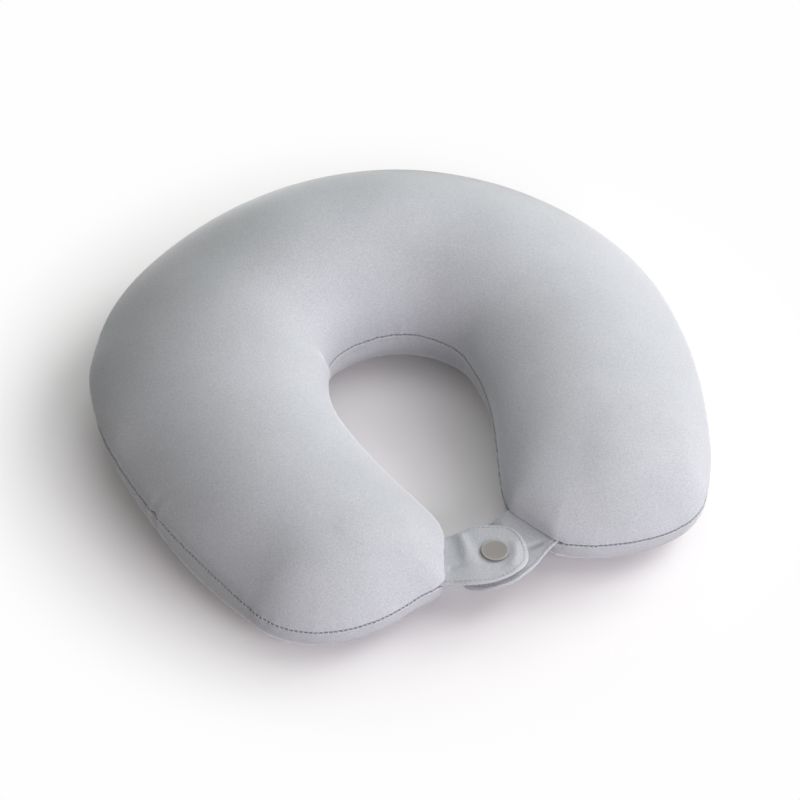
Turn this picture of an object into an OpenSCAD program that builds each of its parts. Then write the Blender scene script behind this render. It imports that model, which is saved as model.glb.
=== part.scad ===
// U-shaped neck pillow: two sewn panels round a bead filling, closed in front by two tabs and a press snap.
// Millimetres. Z is up, the mouth of the U faces -Y, and the pillow rests on z = 0.

/* [Plan] */
// Radius of the crown line round the back of the neck
crown_r = 80; // [70:1:95]
// Length of each leg, along its crown line
leg_len = 102; // [80:1:125]
// Angle by which each leg curves in towards the other, in degrees
toe_in = 17; // [12:1:20]
// Length of the rounded end beyond each leg
tip_len = 43; // [34:1:54]

/* [Section at the back] */
// Width outside the crown line
back_outer = 65; // [55:1:75]
// Width inside the crown line
back_inner = 51; // [42:1:56]
// Height of the crown
back_height = 81; // [65:1:100]
// Height of the seam
back_seam = 31; // [22:1:38]

/* [Section at the shoulders] */
// Width outside the crown line
shoulder_outer = 71; // [60:1:80]
// Width inside the crown line
shoulder_inner = 47; // [38:1:53]
// Height of the crown
shoulder_height = 74; // [60:1:94]
// Height of the seam
shoulder_seam = 31; // [22:1:38]

/* [Section at the legs] */
// Width outside the crown line
leg_outer = 68; // [58:1:76]
// Width inside the crown line
leg_inner = 41; // [34:1:46]
// Height of the crown
leg_height = 62; // [52:1:82]
// Height of the seam
leg_seam = 30; // [22:1:36]

/* [Section at the tips] */
// Width outside the crown line
tip_outer = 59; // [50:1:66]
// Width inside the crown line
tip_inner = 46; // [38:1:50]
// Height of the crown
tip_height = 51; // [44:1:70]
// Height of the seam
tip_seam = 22; // [19:1:28]

/* [Fullness] */
// Lean of the top panel's outer flank, where 1 is an ellipse and more leans in
top_outer_lean = 1.55; // [1.1:0.05:1.8]
// Lean of the top panel's flank towards the neck
top_inner_lean = 0.9; // [0.7:0.05:1.2]
// Roundness of the bottom panel, where 2 is an ellipse
bottom_round = 2.6; // [2.2:0.05:3.2]
// Roundness of the tips' outer corners in plan
tip_outer_round = 2.05; // [2:0.05:2.6]
// Roundness of the tips' corners at the mouth in plan
tip_inner_round = 2.4; // [2.2:0.05:2.8]
// Depth by which the base is pressed flat where it stands
base_cut = 0.5; // [0.3:0.1:1.5]

/* [Cloth and thread] */
// Thickness of the panels' knit
panel_t = 1; // [0.8:0.1:1.6]
// Gap between the two panels' edges, where the seam runs
seam_gap = 1.2; // [1:0.1:2]
// Diameter of the seam's thread
thread_d = 0.8; // [0.5:0.1:0.8]
// Room left between cloth and what lies against it
cloth_clear = 0.3; // [0.2:0.1:0.5]

/* [Tabs] */
// Angle by which each tab points forwards from the X axis, in degrees
tab_angle = 24; // [18:0.5:27]
// Depth by which a tab's sewn root draws the lobe's corner flat
root_flat = 3; // [1.5:0.5:4]
// Width of a tab where it leaves the seam
tab_root_w = 33; // [28:1:36]
// Greatest width of a tab
tab_w = 37; // [30:1:42]
// Radius of a tab's end corners
tab_corner = 15; // [8:1:15]
// Length of a tab beyond the snap
tab_end = 17; // [14:1:20]
// Thickness of each of a tab's two plies
ply_t = 0.5; // [0.4:0.05:0.6]
// Thickness of the interlining between the plies
interlining_t = 0.4; // [0.3:0.05:0.5]
// Distance of the topstitching from the tab's edge
topstitch_in = 2.8; // [2:0.2:4]
// Width of the topstitching
topstitch_w = 0.7; // [0.4:0.1:1]
// Height of the topstitching above the cloth
topstitch_h = 0.15; // [0.1:0.05:0.2]
// Gap between a tab's root and the seam
root_clear = 0.4; // [0.3:0.1:0.8]

/* [Snap] */
// Diameter of the caps
cap_d = 13.5; // [11:0.5:15]
// Thickness of the caps
cap_t = 1.2; // [0.9:0.1:1.6]
// Width of the caps' raised rim
cap_rim = 1; // [0.6:0.1:1.6]
// Depth of the caps' flat below the rim
cap_dish = 0.15; // [0.05:0.05:0.3]
// Diameter of the caps' posts
post_d = 2.8; // [2:0.1:3.2]
// Diameter of the socket and of the stud's base
snap_d = 10.4; // [9:0.2:11]
// Height of the socket
socket_h = 1.7; // [1.5:0.1:2]
// Wall between the socket's hollow and the cloth
socket_floor = 0.5; // [0.4:0.1:0.6]
// Thickness of the stud's base
stud_base = 0.8; // [0.6:0.1:1]
// Diameter of the stud's head
stud_d = 4; // [3.6:0.1:5]
// Height of the stud's head
stud_h = 1; // [0.8:0.1:1.1]
// Drawn-in depth of the stud's neck below its head
stud_neck = 0.2; // [0.1:0.05:0.3]
// Room round the stud's head in the socket
snap_clear = 0.45; // [0.4:0.05:0.6]
// Gap between the socket and the stud's base
snap_gap = 0.3; // [0.2:0.05:0.4]
// Room round the posts in the cloth and the snap halves
post_clear = 0.05; // [0.03:0.01:0.1]

/* [Hidden] */
$fn = 48;
cloth_colour = [0.76, 0.78, 0.80];
under_colour = [0.70, 0.72, 0.75];
thread_colour = [0.60, 0.62, 0.66];
bead_colour = [0.95, 0.95, 0.93];
snap_colour = [0.64, 0.62, 0.59];

// Steps of the panels' grid: stations along the crown, points round a tip, rows up and rows down
stations = 30;
tip_steps = 12;
top_rows = 6;
base_rows = 5;
thread_sides = 6;

// Crown line: a half circle behind the neck, then two legs that curve in
quarter = crown_r * PI / 2;
half_len = quarter + leg_len;
leg_r = leg_len / (toe_in * PI / 180);

function bend(s) = min(abs(s), quarter) / crown_r * 180 / PI;
function curl(s) = max(abs(s) - quarter, 0) / leg_r * 180 / PI;
function heading(s) = sign(s) * (bend(s) + curl(s));
function side_dir(s) = [sin(heading(s)), cos(heading(s))];
function run_dir(s) = [cos(heading(s)), -sin(heading(s))];
function crown_x(s) = sign(s) * (crown_r * sin(bend(s)) - leg_r * (1 - cos(curl(s))));
function crown_xy(s) = [crown_x(s), crown_r * cos(bend(s)) - leg_r * sin(curl(s))];

// Smooth curve through the four sections' values, level at the back and at the tip; k runs from 0 to 1
function smooth(t, a, b, slope_a, slope_b) =
    a * (1 + 2 * t) * (1 - t) ^ 2 + slope_a * t * (1 - t) ^ 2
    + b * t ^ 2 * (3 - 2 * t) + slope_b * t ^ 2 * (t - 1);
function along(k, v) =
    let (i = min(floor(k * 3), 2), slope = [0, (v[2] - v[0]) / 2, (v[3] - v[1]) / 2, 0])
    smooth(k * 3 - i, v[i], v[i + 1], slope[i], slope[i + 1]);
function outer_w(k) = along(k, [back_outer, shoulder_outer, leg_outer, tip_outer]);
function inner_w(k) = along(k, [back_inner, shoulder_inner, leg_inner, tip_inner]);
function crown_h(k) = along(k, [back_height, shoulder_height, leg_height, tip_height]);
function seam_h(k) = along(k, [back_seam, shoulder_seam, leg_seam, tip_seam]);

// One point of the seam loop: centre on the crown, reach to the seam, crown height, seam height, and
// how far it lies towards the neck, from 0 outside to 1 inside
function side_point(s, inside) =
    let (k = abs(s) / half_len, w = inside == 1 ? -inner_w(k) : outer_w(k))
    [crown_xy(s), side_dir(s) * w, crown_h(k), seam_h(k), inside];
function tip_point(side, turn) =
    let (s = side * half_len, inside = (1 - cos(turn)) / 2,
        power = 2 / (tip_outer_round + (tip_inner_round - tip_outer_round) * inside),
        w = turn < 90 ? tip_outer : tip_inner,
        across = sign(cos(turn)) * abs(cos(turn)) ^ power,
        ahead = sin(turn) ^ power)
    [crown_xy(s), side_dir(s) * w * across + run_dir(s) * side * tip_len * ahead,
        tip_height, tip_seam, inside];

// A tab leaves its lobe where the rounded corner reaches farthest in the tab's own direction, and there its
// straight root draws the corner flat
tab_dir = [-cos(tab_angle), -sin(tab_angle)];
corner = [for (turn = [1 : 179]) tip_point(1, turn)];
corner_reach = [for (q = corner) (q[0] + q[1]) * tab_dir];
far_reach = max(corner_reach);
corner_far = corner[search(far_reach, corner_reach)[0]];
function drawn_flat(q, dir) =
    let (over = max((q[0] + q[1]) * dir - far_reach + root_flat, 0))
    [q[0], q[1] - dir * over, q[2], q[3], q[4]];

right_tip = [for (i = [1 : tip_steps - 1]) drawn_flat(tip_point(1, 180 * i / tip_steps), tab_dir)];
left_tip = [for (i = [tip_steps - 1 : -1 : 1])
    drawn_flat(tip_point(-1, 180 * i / tip_steps), [-tab_dir.x, tab_dir.y])];
loop = concat(
    [for (i = [0 : stations]) side_point(half_len * (2 * i / stations - 1), 0)],
    right_tip,
    [for (i = [0 : stations]) side_point(half_len * (1 - 2 * i / stations), 1)],
    left_tip);
loop_n = len(loop);

// Crown point that each point of the loop rises to, counted along the crown line
crown_of = concat(
    [for (i = [0 : stations]) i],
    [for (i = [1 : tip_steps - 1]) stations],
    [for (i = [0 : stations]) stations - i],
    [for (i = [1 : tip_steps - 1]) 0]);

// The whole outline is centred on the origin
function seam_xy(q, grow) = q[0] + q[1] * (1 + grow / norm(q[1]));
outline = [for (q = loop) seam_xy(q, 0)];
centre_y = (max([for (p = outline) p.y]) + min([for (p = outline) p.y])) / 2;
function placed(xy, z) = [xy.x, xy.y - centre_y, z];

// Rings of the panels: level goes from 0 at the seam to 1 at the crown or at the flat of the base
function top_lean(q) = top_outer_lean + (top_inner_lean - top_outer_lean) * q[4];
function top_point(q, level, inset, gap) =
    let (z0 = q[3] + gap)
    placed(q[0] + q[1] * (1 - inset / norm(q[1])) * cos(90 * level),
        z0 + (q[2] - inset - z0) * sin(90 * level) ^ top_lean(q));
function base_point(q, level, inset, gap) =
    let (power = 2 / bottom_round, cut = base_cut / q[3],
        turn = asin((1 / (1 + cut)) ^ (1 / power)) * level,
        rise = (1 + cut) * (1 - sin(turn) ^ power) - cut)
    placed(q[0] + q[1] * (1 - inset / norm(q[1])) * cos(turn) ^ power,
        inset + (q[3] - gap - inset) * max(rise, 0));
function top_ring(level, inset, gap) = [for (q = loop) top_point(q, level, inset, gap)];
function base_ring(level, inset, gap) = [for (q = loop) base_point(q, level, inset, gap)];
function crown_ring(inset) =
    [for (i = [0 : stations]) top_point(loop[i], 1, inset, 0)];
function foot_ring(inset) =
    [for (i = [0 : stations]) placed(loop[i][0], inset)];

// Faces: bands join ring after ring, and the last ring folds shut on the crown line or, flat, below it
function next_of(j) = (j + 1) % loop_n;
function band(a, b, flip) = [for (j = [0 : loop_n - 1]) for (half = [0, 1])
    let (f = half == 0 ? [a + j, a + next_of(j), b + next_of(j)] : [a + j, b + next_of(j), b + j])
    flip ? [f[2], f[1], f[0]] : f];
function bands(from, rings, flip) = [for (r = [0 : 1 : rings - 2])
    each band(from + r * loop_n, from + (r + 1) * loop_n, flip)];
function line_close(ring, crown, flip) = [for (j = [0 : loop_n - 1]) for (half = [0, 1])
    let (ca = crown + crown_of[j], cb = crown + crown_of[next_of(j)],
        f = half == 0 ? [ring + j, ring + next_of(j), cb] : [ring + j, cb, ca])
    if (half == 0 || ca != cb) flip ? [f[2], f[1], f[0]] : f];

// A domed shell of the top panel, from the seam to the crown, and its inner side
module top_shell() {
    gap = seam_gap / 2;
    outer = [for (r = [0 : top_rows - 1]) each top_ring(r / top_rows, 0, gap)];
    inner = [for (r = [0 : top_rows - 1]) each top_ring(r / top_rows, panel_t, gap)];
    n = len(outer);
    crown_n = stations + 1;
    polyhedron(
        concat(outer, inner, crown_ring(0), crown_ring(panel_t)),
        concat(
            bands(0, top_rows, true),
            line_close(n - loop_n, 2 * n, true),
            bands(n, top_rows, false),
            line_close(2 * n - loop_n, 2 * n + crown_n, false),
            band(0, n, false)));
}

// A shallow shell of the bottom panel, from the seam to the flat of the base, and its inner side
module base_shell() {
    gap = seam_gap / 2;
    outer = [for (r = [0 : base_rows]) each base_ring(r / base_rows, 0, gap)];
    inner = [for (r = [0 : base_rows]) each base_ring(r / base_rows, panel_t, gap)];
    n = len(outer);
    foot_n = stations + 1;
    polyhedron(
        concat(outer, inner, foot_ring(0), foot_ring(panel_t)),
        concat(
            bands(0, base_rows + 1, false),
            line_close(n - loop_n, 2 * n, false),
            bands(n, base_rows + 1, true),
            line_close(2 * n - loop_n, 2 * n + foot_n, true),
            band(0, n, true)));
}

// The filling's bulk, from the base over the seam to the crown
module filling() {
    inset = panel_t + cloth_clear;
    top = [for (r = [0 : top_rows - 1]) each top_ring(r / top_rows, inset, 0)];
    base = [for (r = [1 : base_rows]) each base_ring(r / base_rows, inset, 0)];
    n = len(top);
    lines = n + len(base);
    polyhedron(
        concat(top, base, crown_ring(inset), foot_ring(inset)),
        concat(
            bands(0, top_rows, true),
            line_close(n - loop_n, lines, true),
            band(0, n, false),
            bands(n, base_rows, false),
            line_close(lines - loop_n, lines + stations + 1, false)));
}

// The thread lies in the gap between the panels' edges, halfway through their thickness
module seam_cord() {
    sides = thread_sides;
    depth = panel_t / 2;
    points = [for (q = loop) for (i = [0 : sides - 1])
        let (turn = 360 * (i + 0.5) / sides, r = thread_d / 2)
        placed(seam_xy(q, r * cos(turn) - depth), q[3] + r * sin(turn))];
    polyhedron(points, [for (j = [0 : loop_n - 1]) for (i = [0 : sides - 1]) for (half = [0, 1])
        let (a = j * sides, b = next_of(j) * sides, k = (i + 1) % sides)
        half == 0 ? [a + i, a + k, b + k] : [a + i, b + k, b + i]]);
}

// Tabs: the middle of each root lies in the middle of the lobe's flat
tab_t = 2 * ply_t + interlining_t;
root_xy = corner_far[0] + corner_far[1] + tab_dir * (root_clear - root_flat);
snap_u = root_xy.x / cos(tab_angle);
tab_len = snap_u + tab_end;
snap_y = root_xy.y - snap_u * sin(tab_angle) - centre_y;
// A tab reaches the snap's level before it meets the cap
fall_len = snap_u - cap_d / 2;
fall_steps = 8;
root_back = tab_root_w / 3;
// One tab and the closed snap lie between the tabs' levels; the left one rises from the seam and the
// right one falls, each by half, so that neither touches the other's root
snap_pitch = max(tab_t + socket_h + snap_gap + stud_base,
    2 * (tab_t + 2 * topstitch_h + cloth_clear));
left_drop = -snap_pitch / 2;
right_drop = snap_pitch / 2;

module at_root(side) {
    mirror([side > 0 ? 1 : 0, 0, 0])
        translate([-root_xy.x, root_xy.y - centre_y, tip_seam])
            rotate(-tab_angle) children();
}

// Outline of a tab in its own frame, from inside the lobe to its rounded end, drawn in by inset
module tab_outline(inset) {
    r = max(tab_corner - inset, 0.5);
    half_root = tab_root_w / 2 - inset;
    half = tab_w / 2 - inset;
    far = tab_len - inset;
    polygon([[-root_back, -half_root], [0, -half_root], [fall_len, -half], [far - r, -half],
        [far - r, half], [fall_len, half], [0, half_root], [-root_back, half_root]]);
    translate([far - r, -(half - r)]) square([r, 2 * (half - r)]);
    for (side = [-1, 1]) translate([far - r, side * (half - r)]) circle(r);
}

// Side view of a layer: level at the root, a smooth fall, then level again
function fall(u, drop) = -drop * (1 - cos(180 * min(max(u / fall_len, 0), 1))) / 2;
module layer_side(low, high, drop) {
    places = concat([-root_back], [for (i = [0 : fall_steps]) fall_len * i / fall_steps], [tab_len]);
    polygon(concat(
        [for (u = places) [u, low + fall(u, drop)]],
        [for (i = [len(places) - 1 : -1 : 0]) [places[i], high + fall(places[i], drop)]]));
}

module tab_layer(side, low, high, drop) {
    difference() {
        at_root(side) intersection() {
            rotate([90, 0, 0]) linear_extrude(tab_w, center = true) layer_side(low, high, drop);
            translate([0, 0, -tip_seam]) linear_extrude(2 * tip_seam) children();
        }
        pillow_room();
    }
}

// The pillow's outline with the clearance that a tab's root follows
module pillow_room() {
    translate([0, -centre_y, 0]) linear_extrude(2 * tip_seam)
        polygon([for (q = loop) seam_xy(q, root_clear)]);
}

// Cloth layer of a tab, with the hole for the snap's post
module tab_cloth(side, low, high, drop) {
    difference() {
        tab_layer(side, low, high, drop) tab_outline(0);
        at_snap(0) cylinder(d = post_d + 2 * post_clear, h = 2 * tip_seam);
    }
}

// A tab's topstitching: a thread line on the upper face and one on the lower
module topstitching(side, drop) {
    for (face = [-1, 1])
        let (low = face > 0 ? tab_t / 2 : -tab_t / 2 - topstitch_h)
        tab_layer(side, low, low + topstitch_h, drop)
            difference() {
                tab_outline(topstitch_in);
                tab_outline(topstitch_in + topstitch_w);
                translate([-2 * root_back, -tab_w]) square([2 * root_back + topstitch_in, 2 * tab_w]);
            }
}

module at_snap(z) {
    translate([0, snap_y, z]) children();
}

// Heights of the tabs' faces at the snap
left_top = tip_seam - left_drop + tab_t / 2;
left_under = left_top - tab_t;
right_top = tip_seam - right_drop + tab_t / 2;
right_under = right_top - tab_t;

// A dished cap with a chamfered rim and a post on its back, drawn with the cloth's face at z = 0
module cap(post_len) {
    r = cap_d / 2;
    edge = cap_rim / 2;
    rotate_extrude() polygon([[0, -post_len], [post_d / 2, -post_len], [post_d / 2, 0], [r, 0],
        [r, cap_t - edge], [r - edge, cap_t], [r - cap_rim, cap_t],
        [r - cap_rim - cap_dish, cap_t - cap_dish], [0, cap_t - cap_dish]]);
}

// The socket hangs under the cloth's face at z = 0, with its hollow open downwards
module socket() {
    r = snap_d / 2;
    bore = stud_d / 2 + snap_clear;
    hole = post_d / 2 + post_clear;
    soft = socket_floor / 2;
    rotate_extrude() polygon([[hole, 0], [r, 0], [r, -socket_h + soft], [r - soft, -socket_h],
        [bore, -socket_h], [bore, -socket_floor], [hole, -socket_floor]]);
}

// The stud stands on the cloth's face at z = 0, its head wider than its neck
module stud() {
    r = snap_d / 2;
    neck = stud_d / 2 - stud_neck;
    hole = post_d / 2 + post_clear;
    soft = stud_h / 4;
    top = stud_base + stud_h;
    floor_z = stud_base - post_clear;
    rotate_extrude() polygon([[hole, 0], [r, 0], [r, stud_base - soft], [r - soft, stud_base],
        [neck, stud_base], [neck, stud_base + soft], [stud_d / 2, top - 2 * soft],
        [stud_d / 2, top - soft], [stud_d / 2 - soft, top], [0, top], [0, floor_z], [hole, floor_z]]);
}

module top_panel() { color(cloth_colour) top_shell(); }
module bottom_panel() { color(under_colour) base_shell(); }
module bead_fill() { color(bead_colour) filling(); }
module panel_seam_thread() { color(thread_colour) seam_cord(); }

module upper_ply(side, drop) {
    color(cloth_colour) tab_cloth(side, tab_t / 2 - ply_t, tab_t / 2, drop);
}
module interlining(side, drop) {
    color(bead_colour) tab_cloth(side, -interlining_t / 2, interlining_t / 2, drop);
}
module lower_ply(side, drop) {
    color(under_colour) tab_cloth(side, -tab_t / 2, -tab_t / 2 + ply_t, drop);
}
module stitching(side, drop) {
    color(thread_colour) topstitching(side, drop);
}

module snap_cap() { color(snap_colour) at_snap(left_top) cap(tab_t + socket_floor); }
module snap_socket() { color(snap_colour) at_snap(left_under) socket(); }
module snap_stud() { color(snap_colour) at_snap(right_top) stud(); }
module snap_back_cap() {
    color(snap_colour) at_snap(right_under) mirror([0, 0, 1]) cap(tab_t + stud_base - 2 * post_clear);
}

top_panel();
bottom_panel();
bead_fill();
panel_seam_thread();
upper_ply(-1, left_drop);  // left_tab_upper_ply
interlining(-1, left_drop);  // left_tab_interlining
lower_ply(-1, left_drop);  // left_tab_lower_ply
stitching(-1, left_drop);  // left_tab_stitching
upper_ply(1, right_drop);  // right_tab_upper_ply
interlining(1, right_drop);  // right_tab_interlining
lower_ply(1, right_drop);  // right_tab_lower_ply
stitching(1, right_drop);  // right_tab_stitching
snap_cap();
snap_socket();
snap_stud();
snap_back_cap();
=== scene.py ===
"""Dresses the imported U-shaped neck pillow: sewn knit panels round beads, two tabs and a press snap."""

import math

import bpy
import numpy as np
from bpy.props import FloatProperty, FloatVectorProperty, IntProperty, PointerProperty
from mathutils import Matrix, Vector


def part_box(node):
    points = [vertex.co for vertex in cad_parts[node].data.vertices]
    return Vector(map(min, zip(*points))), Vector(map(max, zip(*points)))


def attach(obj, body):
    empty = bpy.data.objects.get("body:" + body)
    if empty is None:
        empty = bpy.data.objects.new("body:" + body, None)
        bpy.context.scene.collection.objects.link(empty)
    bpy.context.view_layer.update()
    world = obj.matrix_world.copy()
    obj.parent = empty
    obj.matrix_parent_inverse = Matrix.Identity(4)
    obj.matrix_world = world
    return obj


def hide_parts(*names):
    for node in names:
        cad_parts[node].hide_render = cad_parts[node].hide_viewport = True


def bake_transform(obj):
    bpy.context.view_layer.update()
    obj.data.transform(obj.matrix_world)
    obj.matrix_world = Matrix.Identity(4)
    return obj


bl_info = {
    "name": "Neck Pillow",
    "version": (1, 0, 0),
    "blender": (4, 5, 0),
    "location": "View3D > Sidebar > Pillow",
    "description": "Sews the soft pieces of a U-shaped neck pillow over its packed solids",
    "category": "Object",
}

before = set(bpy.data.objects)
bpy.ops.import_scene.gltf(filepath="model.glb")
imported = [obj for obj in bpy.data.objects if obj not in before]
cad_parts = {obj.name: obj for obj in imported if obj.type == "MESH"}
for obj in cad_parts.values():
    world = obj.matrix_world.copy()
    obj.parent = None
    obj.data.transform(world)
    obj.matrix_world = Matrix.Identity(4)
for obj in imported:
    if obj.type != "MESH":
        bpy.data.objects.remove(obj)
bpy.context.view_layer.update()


def length(name, text, default):
    """A size in metres."""
    return FloatProperty(name=name, description=text, default=default, precision=5, unit="LENGTH")


def lengths(name, text, default):
    """Sizes in metres: four from the back over shoulder and leg to the tip, or two for left and right."""
    return FloatVectorProperty(name=name, description=text, default=default, size=len(default),
                               precision=5, unit="LENGTH")


def angle(name, text, degrees):
    """An angle, given in degrees and held in radians."""
    return FloatProperty(name=name, description=text, default=math.radians(degrees), subtype="ANGLE")


def number(name, text, default):
    """A bare ratio or level."""
    return FloatProperty(name=name, description=text, default=default, precision=4)


def colour(name, text, default):
    """A linear colour."""
    return FloatVectorProperty(name=name, description=text, default=default, size=3, subtype="COLOR")


class PillowSizes(bpy.types.PropertyGroup):
    """Plan and sections of the pillow."""

    crown_radius: length("Crown radius", "Radius of the crown line behind the neck", 0.080)
    leg_length: length("Leg length", "Length of each leg along its crown line", 0.102)
    toe_in: angle("Toe-in", "Angle by which each leg curves in", 17)
    tip_length: length("Tip length", "Rounded end beyond each leg", 0.043)
    outer_widths: lengths("Outer widths", "Width outside the crown line", (0.065, 0.071, 0.068, 0.059))
    inner_widths: lengths("Inner widths", "Width inside the crown line", (0.051, 0.047, 0.041, 0.046))
    crown_heights: lengths("Crown heights", "Height of the crown", (0.081, 0.074, 0.062, 0.051))
    seam_heights: lengths("Seam heights", "Height of the seam", (0.031, 0.031, 0.030, 0.022))
    outer_lean: number("Outer lean", "Lean of the outer flank, where 1 is an ellipse", 1.55)
    inner_lean: number("Inner lean", "Lean of the flank towards the neck", 0.9)
    bottom_round: number("Bottom roundness", "Roundness of the bottom panel, where 2 is an ellipse", 2.4)
    tip_outer_round: number("Tip outer roundness", "Roundness of the outer corners in plan", 2.05)
    tip_inner_round: number("Tip inner roundness", "Roundness of the corners at the mouth in plan", 2.4)
    base_cut: length("Base cut", "Depth by which the base is pressed flat", 0.0005)
    root_flat: length("Root flat", "Depth by which a tab draws the corner flat", 0.003)
    fullness: length("Fullness", "Bulge of the flanks beyond the seam", 0.0074)
    belly: length("Belly", "Bulge of the bottom panel outside the left leg", 0.0038)
    corner: length("Corner", "Bulge of the left lobe's corner in front of its tab", 0.0042)
    fall: number("Fall", "Slope of the crown where the legs end", 0.20)
    spread: length("Spread", "Widening of the left leg's inner side towards its end", 0.0022)
    slumps: lengths("Slumps", "Shift of the crown to the left on either leg", (0.012, 0.007))
    drawn: length("Drawn in", "Depth by which the seam is drawn in at the right lobe's outer corner", 0.0030)


class SeamSizes(bpy.types.PropertyGroup):
    """The panels' sewn edges."""

    cloth: length("Cloth", "Thickness of the knit", 0.0009)
    lip: length("Lip", "Radius of the turned-in edges along the seam", 0.00045)
    gap: length("Gap", "Half of the gap between the turned-in edges", 0.00030)
    bead: length("Bead", "Distance by which the bottom panel's edge stands proud of the top's", 0.0005)
    flap: length("Flap", "Width of the seam allowance inside", 0.0045)
    draw_in: length("Draw-in", "Depth of the shallow valley that the seam lies in", 0.0003)
    draw_reach: length("Draw-in reach", "Height over which the valley fades", 0.009)
    pucker: length("Pucker", "Depth of the small gathers along the seam", 0.00022)
    pinch: length("Pinch", "Depth of the single pinch at the left", 0.0009)
    pucker_reach: length("Pucker reach", "Height over which the gathers fade", 0.006)
    swell: length("Swell", "Depth of the soft unevenness of the filling", 0.0007)
    pitch: length("Stitch pitch", "Distance from stitch to stitch along the seam", 0.0024)
    thread: length("Thread", "Radius of the seam's thread", 0.00030)
    bar: length("Bar", "Half of the length of a thread bar", 0.00065)
    slant: number("Slant", "Lean of the thread bars along the seam", 0.55)
    wander: length("Wander", "Slow rise and fall of the sewn line", 0.00020)


class ClothSettings(bpy.types.PropertyGroup):
    """How the sewn top panel settles over its filling."""

    pressure: number("Pressure", "Pressure of the filling on the cloth", 4.0)
    shrink: number("Shrink", "Share by which the cloth is cut smaller than the filling", 0.010)
    tension: number("Tension", "Stiffness of the cloth against stretching", 15.0)
    compression: number("Compression", "Stiffness of the cloth against being pushed together", 4.0)
    bending: number("Bending", "Stiffness of the cloth against bending", 0.5)
    firm: number("Firm", "Share of the flank that the seam keeps in shape", 0.45)
    most: length("Most", "Greatest move of the cloth while it settles", 0.004)
    frames: IntProperty(name="Frames", description="Steps of the simulation", default=20, min=1)


class TabSizes(bpy.types.PropertyGroup):
    """The two tabs."""

    angle: angle("Angle", "Angle by which a tab points forwards from the X axis", 24)
    root_width: length("Root width", "Width where a tab leaves the seam", 0.0326)
    widths: lengths("Widths", "Greatest width of a tab", (0.0402, 0.0360))
    forward: lengths("Forward", "Lead of a tab's middle line over the snap at the root", (0.0046, 0.0))
    skew: lengths("Skew", "Lead of a tab's middle line over the snap at the end", (0.0018, 0.0))
    ends: lengths("Ends", "Length beyond the snap", (0.0163, 0.0212))
    front_corner: lengths("Front corner", "Length of the corner at the front edge", (0.0288, 0.0198))
    back_corner: lengths("Back corner", "Length of the corner at the back edge", (0.0133, 0.0198))
    corner_round: number("Corner roundness", "Roundness of the corners, where 2 is an ellipse", 1.9)
    cap_radius: length("Cap radius", "Radius of the snap's caps", 0.00675)
    thickness: length("Thickness", "Thickness of a tab", 0.0014)
    ply: length("Ply", "Thickness of each ply", 0.00045)
    felt: length("Interlining", "Thickness of the interlining", 0.0003)
    room: length("Room", "Room between a caught tab and the panels' edges", 0.00035)
    pitch: length("Snap pitch", "Distance between the levels of the two tabs", 0.0042)
    tail: length("Tail", "Length that is caught in the seam", 0.003)
    root_clear: length("Root gap", "Distance of the root from the seam line", 0.0004)
    stitch_in: length("Stitch inset", "Distance of the topstitching from the edge", 0.0020)
    stitch_pitch: length("Stitch pitch", "Distance from stitch to stitch", 0.0023)
    thread: length("Thread", "Radius of the topstitching's thread", 0.0002)


class PillowLook(bpy.types.PropertyGroup):
    """Colours of cloth, thread, snap and filling."""

    knit: colour("Knit", "Colour of the knit", (0.496, 0.510, 0.532))
    thread: colour("Thread", "Colour of the sewing thread", (0.52, 0.53, 0.56))
    snap: colour("Snap", "Colour of the moulded snap", (0.328, 0.307, 0.284))
    felt: colour("Felt", "Colour of the tabs' interlining", (0.80, 0.80, 0.78))
    beads: colour("Beads", "Colour of the filling", (0.86, 0.86, 0.84))
    sky: colour("Sky", "Colour of the even light", (1.0, 0.955, 0.92))
    floor: colour("Floor", "Colour of the floor", (0.99, 0.962, 0.966))


class StageSettings(bpy.types.PropertyGroup):
    """Camera and lamps."""

    azimuth: angle("Azimuth", "Direction that the camera looks from", -22.65)
    elevation: angle("Elevation", "Height of the camera above the horizon", 43.396)
    distance: length("Distance", "Distance of the camera from the middle", 2.1101)
    focal: number("Focal length", "Focal length in millimetres on a 36 mm sensor", 190.03)
    shift_right: length("Shift right", "Sideways move of the camera", 0.00304)
    shift_up: length("Shift up", "Upward move of the camera", -0.01831)
    lamp_distance: length("Lamp distance", "Distance of the lamps from the pillow", 1.6)
    lamp_size: length("Lamp size", "Side of each square lamp", 1.0)
    key: number("Key", "Strength of the lamp at the right and behind, in watts", 16.8)
    high: number("High", "Strength of the lamp high at the right, in watts", 5.6)
    front: number("Front", "Strength of the low lamp in front, in watts", 19.0)
    rear: number("Rear", "Strength of the lamp behind, in watts", 3.6)
    top: number("Top", "Strength of the lamp overhead, in watts", 1.8)
    sky: number("Sky", "Strength of the even light from all round", 0.25)
    clear: length("Clear", "Distance from the middle at which the floor starts to turn plain white", 0.145)
    bounce: number("Bounce", "Share of the floor's colour that it throws back onto the pillow", 0.55)
    white: length("White", "Distance from the middle at which the floor is plain white", 0.235)


def sizes_of(context):
    """The scene's property groups: pillow, seam, tabs, look and stage."""
    scene = context.scene
    return scene.pillow_sizes, scene.seam_sizes, scene.tab_sizes, scene.pillow_look, scene.pillow_stage


def smooth(t):
    """Soft step from 0 at t 0 to 1 at t 1."""
    t = np.clip(t, 0, 1)
    return t * t * (3 - 2 * t)


def step(t, start, over):
    """Soft step of t from 0 at start to 1 once it is past start by over."""
    return smooth((t - start) / over)


def hump(distance, reach):
    """Bell that is 1 at distance 0 and fades over reach."""
    return np.exp(-((distance / reach) ** 2))


def unit(vectors):
    """The vectors, each brought to length 1."""
    return vectors / np.linalg.norm(vectors, axis=1)[:, None]


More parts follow.
